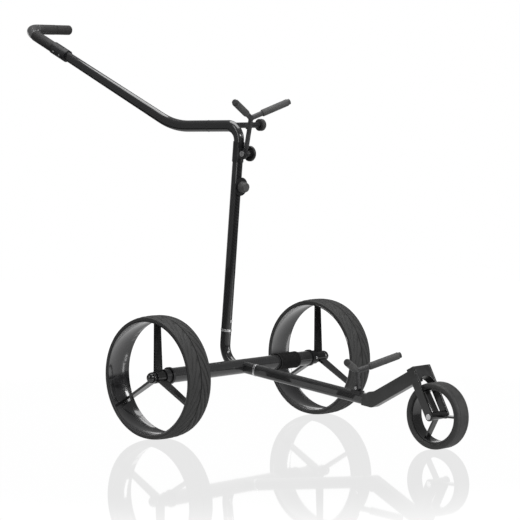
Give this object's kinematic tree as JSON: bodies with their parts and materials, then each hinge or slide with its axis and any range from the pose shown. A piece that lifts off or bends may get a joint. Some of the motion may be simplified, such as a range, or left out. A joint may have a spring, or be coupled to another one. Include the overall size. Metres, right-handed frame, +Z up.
{
  "type": "three-wheel golf push trolley",
  "caption": "Folding golf trolley: carbon tube frame, wide drum-rim rear wheels, raked front fork, upper and lower bag cradles and a swivelling one-hand grip.",
  "frame": {"origin": "on the floor under the middle of the object's box", "axes": "+Z up, -Y forward (the front wheel's side), +X to the user's left"},
  "size_m": [0.621, 1.4422, 0.9804],
  "materials": {
    "carbon": "lacquered carbon twill",
    "black_metal": "satin black",
    "gloss_black": "polished black",
    "steel": "bright",
    "tyre": "grooved rubber",
    "soft_rubber": "soft matte rubber",
    "end_plug": "moulded",
    "wrap": "stitched wrap"
  },
  "bodies": {
    "chassis": {"axle_tube": "carbon", "axle_bush_left": "black_metal", "axle_bush_right": "black_metal", "mast_socket": "carbon", "mast_ring": "steel", "mast_spigot": "black_metal", "arm_socket": "carbon", "arm_ring": "steel", "arm_spigot": "black_metal"},
    "brake_sleeve": {"axle_sleeve": "soft_rubber"},
    "left_stub": {"stub_axle_left": "steel"},
    "right_stub": {"stub_axle_right": "steel"},
    "left_wheel": {"tyre_left": "tyre", "rim_left": "gloss_black", "spider_left": "gloss_black", "hub_cap_left": "gloss_black"},
    "right_wheel": {"tyre_right": "tyre", "rim_right": "gloss_black", "spider_right": "gloss_black", "hub_cap_right": "gloss_black"},
    "left_release": {"release_left": "steel"},
    "right_release": {"release_right": "steel"},
    "front_arm": {"arm_tube": "carbon", "fork_bar": "black_metal", "fork_crown": "black_metal", "fork_leg_left": "black_metal", "fork_leg_right": "black_metal", "front_axle": "steel", "lower_saddle": "black_metal", "lower_pin": "steel"},
    "arm_catch": {"arm_catch": "steel"},
    "front_wheel": {"front_tyre": "tyre", "front_rim": "gloss_black"},
    "lower_cradle": {"lower_yoke": "black_metal", "lower_sleeve_left": "soft_rubber", "lower_sleeve_right": "soft_rubber", "lower_plugs": "end_plug"},
    "mast": {"mast_tube": "carbon", "strap_flange": "black_metal", "mast_clamp": "black_metal", "cradle_bolt": "steel", "top_elbow": "carbon", "stub_rod": "black_metal", "handle_seam": "gloss_black", "handle_bend": "carbon", "handle_slope": "carbon", "collar": "black_metal", "collar_screws": "steel"},
    "mast_catch": {"mast_catch": "steel"},
    "strap_knob": {"strap_knob": "soft_rubber"},
    "stub_knob": {"stub_knob": "soft_rubber"},
    "cradle_knob": {"cradle_knob": "black_metal"},
    "upper_cradle": {"upper_yoke": "black_metal", "upper_sleeve_left": "soft_rubber", "upper_sleeve_right": "soft_rubber", "upper_plugs": "end_plug"},
    "grip": {"grip_core": "gloss_black", "grip_wrap_lower": "wrap", "grip_wrap_side": "wrap", "grip_end": "wrap"}
  },
  "joints": [
    {"name": "left_wheel_spin", "type": "hinge", "parent": "left_stub", "child": "left_wheel", "pos_m": [0.277, -0.04775, 0.1425], "axis": [1, 0, 0], "continuous": true},
    {"name": "right_wheel_spin", "type": "hinge", "parent": "right_stub", "child": "right_wheel", "pos_m": [-0.277, -0.04775, 0.1425], "axis": [1, 0, 0], "continuous": true},
    {"name": "front_wheel_spin", "type": "hinge", "parent": "front_arm", "child": "front_wheel", "pos_m": [0, -0.64715, 0.074], "axis": [1, 0, 0], "continuous": true},
    {"name": "left_wheel_pull_off", "type": "slide", "parent": "chassis", "child": "left_stub", "axis": [1, 0, 0], "range_m": [0, 0.04]},
    {"name": "right_wheel_pull_off", "type": "slide", "parent": "chassis", "child": "right_stub", "axis": [-1, 0, 0], "range_m": [0, 0.04]},
    {"name": "left_release_press", "type": "slide", "parent": "chassis", "child": "left_release", "axis": [0, 1, 0], "range_m": [0, 0.0015], "stiffness_N_per_m": 400},
    {"name": "right_release_press", "type": "slide", "parent": "chassis", "child": "right_release", "axis": [0, -1, 0], "range_m": [0, 0.0015], "stiffness_N_per_m": 400},
    {"name": "brake_sleeve_twist", "type": "hinge", "parent": "chassis", "child": "brake_sleeve", "pos_m": [0.1565, -0.04775, 0.1425], "axis": [1, 0, 0], "range_deg": [0, 60]},
    {"name": "mast_pull_off", "type": "slide", "parent": "chassis", "child": "mast", "axis": [0, -0.1115, 0.9938], "range_m": [0, 0.06]},
    {"name": "arm_pull_off", "type": "slide", "parent": "chassis", "child": "front_arm", "axis": [0, -0.9925, -0.1219], "range_m": [0, 0.06]},
    {"name": "mast_catch_press", "type": "slide", "parent": "mast", "child": "mast_catch", "axis": [0, 0.9938, 0.1115], "range_m": [0, 0.0012], "stiffness_N_per_m": 400},
    {"name": "arm_catch_press", "type": "slide", "parent": "front_arm", "child": "arm_catch", "axis": [-1, 0, 0], "range_m": [0, 0.0012], "stiffness_N_per_m": 400},
    {"name": "upper_cradle_fold", "type": "hinge", "parent": "mast", "child": "upper_cradle", "pos_m": [0, -0.07142, 0.64896], "axis": [1, 0, 0], "range_deg": [0, 140]},
    {"name": "lower_cradle_fold", "type": "hinge", "parent": "front_arm", "child": "lower_cradle", "pos_m": [0, -0.4156, 0.11874], "axis": [1, 0, 0], "range_deg": [0, 75]},
    {"name": "cradle_knob_turn", "type": "hinge", "parent": "mast", "child": "cradle_knob", "pos_m": [0, -0.07142, 0.64896], "axis": [1, 0, 0], "range_deg": [-180, 180]},
    {"name": "strap_knob_turn", "type": "hinge", "parent": "mast", "child": "strap_knob", "pos_m": [0, -0.03871, 0.57263], "axis": [0, -0.9938, -0.1115], "range_deg": [-180, 180]},
    {"name": "stub_knob_turn", "type": "hinge", "parent": "mast", "child": "stub_knob", "pos_m": [0.085, -0.03975, 0.716], "axis": [1, 0, 0], "range_deg": [-180, 180]},
    {"name": "grip_swivel", "type": "hinge", "parent": "mast", "child": "grip", "pos_m": [0, 0.59986, 0.91692], "axis": [0, 0.9063, 0.4226], "range_deg": [-180, 0]}
  ]
}
